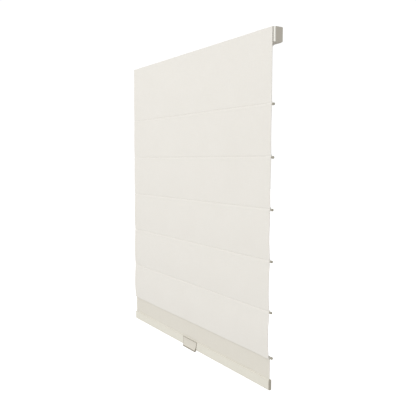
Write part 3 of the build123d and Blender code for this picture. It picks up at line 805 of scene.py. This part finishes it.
def makeSheet(name, thickness, depth, dipShare, step, material, sideMaterial=None):
    # Cuts the whole sheet into an upper and a lower strip for each fold and for the skirt, so that
    # each strip can ride on the rib that it is sewn to. Neighbouring strips share their edge row.
    v = clothValues
    y, z, turnEnd = clothLine(thickness, depth, dipShare)
    x = sideColumns(step)
    dy, dz = np.gradient(y), np.gradient(z)
    length = np.hypot(dy, dz)
    normal = np.stack([dz / length, -dy / length])       # points to the room
    run = np.concatenate([[0], np.cumsum(np.hypot(np.diff(y), np.diff(z)))])
    ripple = rippleAt(x[None, :], z[:, None])
    fromSide = halfWidth - np.abs(x)
    fromStep = fromSide - v["sideHem"]
    extra = v["sideHemRise"] * (1 - np.clip((fromStep + v["sideHemStepIn"]) / v["sideHemStep"], 0, 1))
    fromStitch = (fromStep + v["sideStitchIn"]) / v["sideStitchHalf"]
    extra -= v["sideStitchDip"] * np.exp(-(fromStitch ** 2))
    rounded = v["edgeShare"] * thickness * (1 - np.clip(fromSide / v["edgeRound"], 0, 1)) ** 2

    def surface(side):
        out = side * (thickness / 2 - rounded)[None, :]
        if side > 0:
            out = out + extra[None, :]
        grid = np.empty((len(z), len(x), 3))
        grid[..., 0] = x[None, :]
        grid[..., 1] = y[:, None] + normal[0][:, None] * out - ripple
        grid[..., 2] = z[:, None] + normal[1][:, None] * out
        return grid

    front, back = surface(1), surface(-1)
    uv = np.stack(np.broadcast_arrays(x[None, :], run[:, None]), -1)
    edges = [0]
    for stop in sorted(foldStops, reverse=True):
        edges.append(int(np.argmin(np.abs(z - stop))))
    edges += [turnEnd, int(np.argmin(np.abs(z - skirtStop))), len(z) - 1]
    bodies = ["headrail_assembly"]
    for body in ribBodies:
        bodies += [body, body]
    bodies.append("bottom_bar")
    pieces = []
    for n in range(len(edges) - 1):
        fold, upper = n // 2, n % 2 == 0
        rows = slice(edges[n], edges[n + 1] + 1)
        points, faces, smooth = closedSheet(front[rows], back[rows])
        flatUv = np.concatenate([uv[rows].reshape(-1, 2)] * 2)
        part = "Skirt" if fold == ribCount else f"Fold{fold + 1}"
        # The face's skirt strips take the darker copy of the face cloth: painted shade
        isSkirt = fold == ribCount and material == "faceCloth"
        piece = addPiece(f"{name}{part}{'Upper' if upper else 'Lower'}", points, faces,
                         "shadedSkirtCloth" if isSkirt else material, flatUv, smooth)
        if sideMaterial:
            piece.data.materials.append(finish[sideMaterial])
            centres = points[faces].mean(1)
            atSide = halfWidth - np.abs(centres[:, 0]) < v["sideHem"]
            piece.data.polygons.foreach_set("material_index", atSide.astype(np.int32))
        outward(piece)
        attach(piece, bodies[n])
        layOver(piece, fold, depth + thickness / 2)
        pieces.append(piece)
    return pieces


def layOver(piece, fold, depth):
    # Gives the strip a mesh of its own. How far its crease would stand forward when the shade is up,
    # less the liner's inner gap, is worked out but not used; nothing here closes the strips
    forward = raised["skirtForward"] if fold == ribCount else raised["forward"]
    if depth > layers["face"]:
        forward -= raised["innerGap"]
    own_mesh(piece)


faceStrips = makeSheet("face", layers["face"], 0.0, 1.0, clothValues["columnStep"], "faceCloth")
linerStrips = makeSheet("liner", layers["liner"], layers["face"] + layers["gap"], 0.7,
                        clothValues["linerColumnStep"], "linerCloth", "faceCloth")
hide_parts("face_fabric")
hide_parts("liner")
print("face and liner made:", len(faceStrips) + len(linerStrips), "strips")

# Hem round the bottom rail

hemValues = {
    "round": 0.0026,       # corner radius seen from the side
    "plump": 0.0005,       # how far its front stands out in the middle
    "pucker": 0.00012,     # small waves along its stitch line
    "puckerLength": 0.0175,
    "puckerReach": 0.005,  # they die out this far from the stitch line
    "stitchDrop": 0.0040,  # stitch line below the hem's top
    "stitchDip": 0.0004,
    "stitchHalf": 0.0009,
    "sidePoints": 18,      # of the outline, along a side and round a corner
    "arcPoints": 6,
    "columnStep": 0.0065,
}
hemMiddle = (hemHigh + hemLow) / 2


def roundedOutline(width, height, radius, sidePoints, arcPoints):
    # A rounded rectangle about (0, 0), point by point: along each side, then round each corner
    parts = []
    for quarter in range(4):
        wide, tall = (width, height) if quarter % 2 == 0 else (height, width)
        start = quarter * math.pi / 2
        centre = np.array([wide / 2 - radius, -tall / 2 + radius])
        side = np.linspace(centre[1], -centre[1], sidePoints, endpoint=False)
        angle = np.linspace(0, math.pi / 2, arcPoints, endpoint=False)
        y = np.concatenate([np.full(sidePoints, wide / 2), centre[0] + radius * np.cos(angle)])
        z = np.concatenate([side, tall / 2 - radius + radius * np.sin(angle)])
        parts.append(np.stack([y * math.cos(start) - z * math.sin(start),
                               y * math.sin(start) + z * math.cos(start)], -1))
    return np.concatenate(parts)


def hemFrontAt(x, z):
    # How far the hem's front stands out at a height above its middle: a flat parabola, small waves
    # by the stitch line and the dip of the line itself
    v = hemValues
    half = (hemHigh.z - hemLow.z) / 2
    fromStitch = z - (half - v["stitchDrop"])
    plump = v["plump"] * (1 - np.clip(z / half, -1, 1) ** 2)
    fade = np.exp(-((fromStitch / v["puckerReach"]) ** 2))
    waves = v["pucker"] * np.sin(2 * np.pi * x / v["puckerLength"]) * fade
    return plump + waves - v["stitchDip"] * np.exp(-((fromStitch / v["stitchHalf"]) ** 2))


def makeHem():
    # The outline seen from the side, carried along the width, with a second one inside it
    v = hemValues
    width, height = hemHigh.y - hemLow.y, hemHigh.z - hemLow.z
    x = sideColumns(v["columnStep"])
    shells, lengths = [], []
    for inset in (0.0, layers["face"]):
        outline = roundedOutline(width - 2 * inset, height - 2 * inset,
                                 v["round"] - inset, v["sidePoints"], v["arcPoints"])
        grid = np.empty((len(x), len(outline), 3))
        grid[..., 0] = x[:, None]
        atFront = np.clip(-outline[:, 0] / (width / 2), 0, 1)[None, :]
        grid[..., 1] = outline[None, :, 0] - atFront * hemFrontAt(x[:, None], outline[None, :, 1])
        grid[..., 2] = outline[None, :, 1]
        grid[..., 1] += hemMiddle.y
        grid[..., 2] += hemMiddle.z
        shells.append(grid)
        step = np.hypot(*np.diff(outline, axis=0).T)
        lengths.append(np.concatenate([[0], np.cumsum(step)]))
    around = len(lengths[0])
    count = len(x) * around
    index = np.arange(count).reshape(len(x), around)
    faces = np.concatenate([
        gridFaces(len(x), around, closeColumns=True),
        gridFaces(len(x), around, count, closeColumns=True)[:, ::-1],
        ribbonFaces(index[0] + count, index[0], closed=True),
        ribbonFaces(index[-1], index[-1] + count, closed=True),
    ])
    points = np.concatenate([grid.reshape(-1, 3) for grid in shells])
    uv = np.concatenate([np.stack(np.broadcast_arrays(x[:, None], length[None, :]), -1)
                         .reshape(-1, 2) for length in lengths])
    # The hem takes the darker copy of the face cloth: painted shade
    piece = outward(addPiece("hem", points, faces, "shadedHemCloth", uv))
    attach(piece, "bottom_bar")
    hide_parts("hem_pocket")


makeHem()
print("hem made")

# Rib pockets

pocketValues = {
    "cloth": 0.0006,
    "layerStep": 0.00062,      # from the front layer's middle to the back layer's
    "frontDip": 0.00045,       # at the stitch line, where the layers are pressed together
    "backDip": 0.00025,
    "pucker": 0.00012,
    "puckerLength": 0.021,
    "puckerRise": 0.004,       # the puckers grow over this height above the rod,
    "puckerBehind": 0.001,     # in what lies behind this far in front of its middle
    "puckerShift": 1.3,        # from one rib to the next, in radians
    "columnStep": 0.009,
    "rows": (14, 25, 4, 5),    # down the front, round the rod, back to the stitch line, up
}


def pocketLine(ribY, ribZ, stitchZ, topZ, radius):
    # The tape seen from the side: down the back of the liner, round under the rod, over it along
    # the tangent to the stitch line, and up behind the first layer
    v = pocketValues
    downRows, roundRows, backRows, upRows = v["rows"]
    frontY = ribY - radius
    toStitch = np.array([v["layerStep"] - radius, stitchZ - ribZ])
    away = math.atan2(toStitch[1], toStitch[0])
    leave = away - math.acos(min(1.0, radius / np.hypot(*toStitch)))
    down = np.linspace(topZ, ribZ, downRows)
    angle = np.linspace(-math.pi, leave, roundRows + 1)[1:]
    under = np.stack([ribY + radius * np.cos(angle), ribZ + radius * np.sin(angle)])
    there = toStitch[:, None] + np.array([[ribY], [ribZ]])
    share = np.linspace(0, 1, backRows + 1)[None, 1:]
    back = under[:, -1:] + (there - under[:, -1:]) * share
    up = np.linspace(stitchZ, topZ, upRows + 1)[1:]
    y = np.concatenate([np.full(len(down), frontY), under[0], back[0],
                        np.full(len(up), frontY + v["layerStep"])])
    z = np.concatenate([down, under[1], back[1], up])
    deep = np.zeros(len(z))
    deep[:len(down)] = v["frontDip"]
    deep[-len(up):] = v["backDip"]
    return y + deep * np.exp(-(((z - stitchZ) / clothValues["seamHalf"]) ** 2)), z


def makePocket(n):
    # The tape's line, half its thickness to each side, carried along the width with small puckers
    v = pocketValues
    ribY, ribZ = ribPlaces[n - 1]
    low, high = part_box(f"rib_pocket_{n}")
    half = v["cloth"] / 2
    y, z = pocketLine(ribY, ribZ, stitchHeights[n - 1], high.z, ribY - low.y - half)
    x = sideColumns(v["columnStep"])
    dy, dz = np.gradient(y), np.gradient(z)
    length = np.hypot(dy, dz)
    normal = (-dz / length, dy / length)
    run = np.concatenate([[0], np.cumsum(np.hypot(np.diff(y), np.diff(z)))])
    inBack = y > ribY - v["puckerBehind"]
    atBack = np.clip((z - ribZ) / v["puckerRise"], 0, 1)[:, None] * inBack[:, None]
    wave = np.sin(2 * np.pi * x / v["puckerLength"] + v["puckerShift"] * n)
    pucker = v["pucker"] * atBack * wave[None, :]

    def surface(side):
        grid = np.empty((len(z), len(x), 3))
        grid[..., 0] = x[None, :]
        grid[..., 1] = y[:, None] + side * half * normal[0][:, None] + pucker
        grid[..., 2] = z[:, None] + side * half * normal[1][:, None]
        return grid

    points, faces, smooth = closedSheet(surface(-1), surface(1))
    uv = np.stack(np.broadcast_arrays(x[None, :], run[:, None]), -1).reshape(-1, 2)
    piece = outward(addPiece(f"ribPocket{n}", points, faces, "pocketTape",
                             np.concatenate([uv, uv]), smooth))
    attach(piece, ribBodies[n - 1])
    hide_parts(f"rib_pocket_{n}")


for n in range(1, ribCount + 1):
    makePocket(n)
print("rib pockets made")

# Stitches

stitchValues = {
    "length": 0.0027,
    "pitch": 0.0040,
    "thread": 0.00017,     # radius
    "thinnest": 0.25,      # share of it at a stitch's ends
    "stand": 0.00010,      # height of the arch above the cloth
    "fromSide": 0.004,
    "rings": 5,
    "around": 6,
}


def stitchRow(y, z, outwardSide):
    # One arch of thread per stitch: a small half sine above the cloth, thick in the middle and
    # drawn to a point where the thread goes through
    v = stitchValues
    x = np.arange(-halfWidth + v["fromSide"], halfWidth - v["fromSide"], v["pitch"])
    t = np.linspace(0, 1, v["rings"])
    angle = np.linspace(0, 2 * np.pi, v["around"], endpoint=False)
    arch = np.sin(np.pi * t)
    radius = v["thread"] * (v["thinnest"] + (1 - v["thinnest"]) * np.sqrt(arch))
    shape = (len(x), v["rings"], v["around"])
    points = np.empty(shape + (3,))
    points[..., 0] = x[:, None, None] + (t[None, :, None] - 0.5) * v["length"]
    out = v["stand"] * arch[:, None] + radius[:, None] * np.cos(angle)[None, :]
    surface = np.broadcast_to(y(x, z), x.shape)
    points[..., 1] = surface[:, None, None] + outwardSide * out[None]
    points[..., 2] = z + (radius[:, None] * np.sin(angle)[None, :])[None]
    one = gridFaces(v["rings"], v["around"], closeColumns=True)
    last = (v["rings"] - 1) * v["around"]
    ends = np.array([[0, 1, 2, 3], [0, 3, 4, 5], [last + 3, last + 2, last + 1, last],
                     [last + 5, last + 4, last + 3, last]])
    one = np.concatenate([one, ends])
    each = v["rings"] * v["around"]
    faces = (one[None] + (np.arange(len(x)) * each)[:, None, None]).reshape(-1, 4)
    return points.reshape(-1, 3), faces


def joinRows(rows):
    points, faces, start = [], [], 0
    for rowPoints, rowFaces in rows:
        points.append(rowPoints)
        faces.append(rowFaces + start)
        start += len(rowPoints)
    return np.concatenate(points), np.concatenate(faces)


def addStitches(name, rows, body):
    points, faces = joinRows(rows)
    piece = outward(addPiece(name, points, faces, "thread"))
    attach(piece, body)


for n in range(1, ribCount + 1):
    stitchZ = stitchHeights[n - 1]
    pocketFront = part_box(f"rib_pocket_{n}")[0].y
    behind = pocketFront + pocketValues["cloth"] + pocketValues["layerStep"]
    behind += pocketValues["backDip"] - stitchValues["stand"]
    rows = [stitchRow(lambda x, z: behind + 0 * x, stitchZ, 1)]
    if n < ribCount:
        inFront = clothFront - foldForward(np.array([stitchZ]))
        rows.append(stitchRow(lambda x, z: inFront - rippleAt(x, z), stitchZ, -1))
    addStitches(f"seamStitches{n}", rows, ribBodies[n - 1])

hemStitchZ = hemHigh.z - hemValues["stitchDrop"]
addStitches("hemStitches", [
    stitchRow(lambda x, z: hemLow.y - hemFrontAt(x, z - hemMiddle.z), hemStitchZ, -1),
    stitchRow(lambda x, z: hemHigh.y + 0 * x, hemStitchZ, 1),
], "bottom_bar")
print("stitches made")

# Lift cords, knots and windings

cordValues = {
    "braid": 0.13,         # share of the radius between a strand's top and its valley
    "lay": 0.0042,         # one turn of a strand
    "rowStep": 0.00065,
    "around": 12,
    "nextToTip": 0.8,      # share of the radius one row before a pointed end
    "mergeWithin": 1e-7,
    "knotSize": 0.0011,
    "knotRing": 1.55,      # middle of the trefoil's ring, how far it swings in and out, and
    "knotSwing": 0.75,     # its swing to front and back, in knot sizes
    "knotCord": 0.85,      # the cord is pulled thinner in its knot
    "knotDrop": 0.0024,    # knot's middle below the anchor's eye
    "knotPoints": 96,
    "tail": 0.006,
    "tailStart": 0.002,    # above the cord's foot
    "tailSwing": 0.0008,
    "tailWave": 260,       # radians a metre
    "tailPoints": 16,
    "turns": 3.25,         # left on each spool when the shade is down
    "turnPitch": 0.00155,
    "turnPoints": 90,
    "turnCord": 0.96,      # the cord is a little flatter on its spool
}


def tube(path, radius, reference, closed=False, braided=True):
    # A round cord along a path. Two sets of helical lobes cross on its surface, and the higher of
    # the two at each place gives the braid. An open tube is drawn to a point at both ends.
    v = cordValues
    if closed:
        tangent = np.roll(path, -1, 0) - np.roll(path, 1, 0)
    else:
        tangent = np.gradient(path, axis=0)
    tangent /= np.linalg.norm(tangent, axis=1)[:, None]
    side = np.cross(tangent, np.array(reference, float))
    side /= np.linalg.norm(side, axis=1)[:, None]
    other = np.cross(tangent, side)
    run = np.concatenate([[0], np.cumsum(np.linalg.norm(np.diff(path, axis=0), axis=1))])
    angle = np.linspace(0, 2 * np.pi, v["around"], endpoint=False)[None, :]
    lay = (2 * np.pi * run / v["lay"])[:, None]
    lobes = np.maximum(np.sin(2 * angle + lay), np.sin(2 * angle - lay))
    width = radius * (1 - v["braid"] * (1 - lobes) / 2) if braided else radius + 0 * lobes
    if not closed:
        width[[0, -1]] = 0
        width[[1, -2]] *= v["nextToTip"]
    points = (path[:, None] + side[:, None] * (width * np.cos(angle))[..., None]
              + other[:, None] * (width * np.sin(angle))[..., None])
    faces = gridFaces(len(path), v["around"], closeColumns=True)
    if closed:
        first = np.arange(v["around"])
        last = first + (len(path) - 1) * v["around"]
        faces = np.concatenate([faces, ribbonFaces(last, first, closed=True)])
    return points.reshape(-1, 3), faces


def closePoles(piece):
    # Merges the points that a tube's pointed end brings together
    work = bmesh.new()
    work.from_mesh(piece.data)
    bmesh.ops.remove_doubles(work, verts=work.verts, dist=cordValues["mergeWithin"])
    bmesh.ops.recalc_face_normals(work, faces=work.faces)
    work.to_mesh(piece.data)
    work.free()
    return piece


shaftLow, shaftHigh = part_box("drive_shaft")
shaftY = (shaftLow.y + shaftHigh.y) / 2
shaftZ = shaftLow.z + (shaftHigh.y - shaftLow.y) / 2


def makeLiftCord(side):
    v = cordValues
    low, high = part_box(f"lift_cord_{side}")
    x, y, radius = (low.x + high.x) / 2, (low.y + high.y) / 2, (high.x - low.x) / 2
    z = np.arange(high.z, low.z, -v["rowStep"])
    path = np.stack([np.full(len(z), x), np.full(len(z), y), z], -1)
    points, faces = tube(path, radius, (1, 0, 0))
    piece = closePoles(addPiece(f"liftCord{side.capitalize()}", points, faces, "braidedCord"))
    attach(piece, "headrail_assembly")
    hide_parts(f"lift_cord_{side}")
    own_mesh(piece)

    # The knot under the anchor is a trefoil: two turns round its middle to three in and out
    turn = np.linspace(0, 2 * np.pi, v["knotPoints"], endpoint=False)
    size = v["knotSize"]
    knotZ = low.z - v["knotDrop"]
    ring = v["knotRing"] + v["knotSwing"] * np.cos(3 * turn)
    knot = np.stack([x + size * ring * np.cos(2 * turn),
                     y + size * v["knotSwing"] * np.sin(3 * turn),
                     knotZ + size * ring * np.sin(2 * turn)], -1)
    drop = np.linspace(low.z + v["tailStart"], knotZ - v["tail"], v["tailPoints"])
    tail = np.stack([x + v["tailSwing"] * np.sin((low.z - drop) * v["tailWave"]),
                     np.full(v["tailPoints"], y), drop], -1)
    points, faces = joinRows([tube(knot, radius * v["knotCord"], (0, 1, 0), closed=True),
                              tube(tail, radius * v["knotCord"], (1, 0, 0))])
    piece = closePoles(addPiece(f"cordKnot{side.capitalize()}", points, faces, "braidedCord"))
    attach(piece, "bottom_bar")

    # The winding is a helix that leaves the spool where the cord hangs
    wrap = shaftY - y
    turn = np.linspace(0, 2 * np.pi * v["turns"], int(v["turnPoints"] * v["turns"]))
    helix = np.stack([x + v["turnPitch"] * turn / (2 * np.pi),
                      shaftY - wrap * np.cos(turn), shaftZ + wrap * np.sin(turn)], -1)
    points, faces = tube(helix, radius * v["turnCord"], (1, 0, 0))
    piece = closePoles(addPiece(f"cordWinding{side.capitalize()}", points, faces, "braidedCord"))
    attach(piece, "lift_shaft")


for side in ("left", "centre", "right"):
    makeLiftCord(side)
print("cords made")
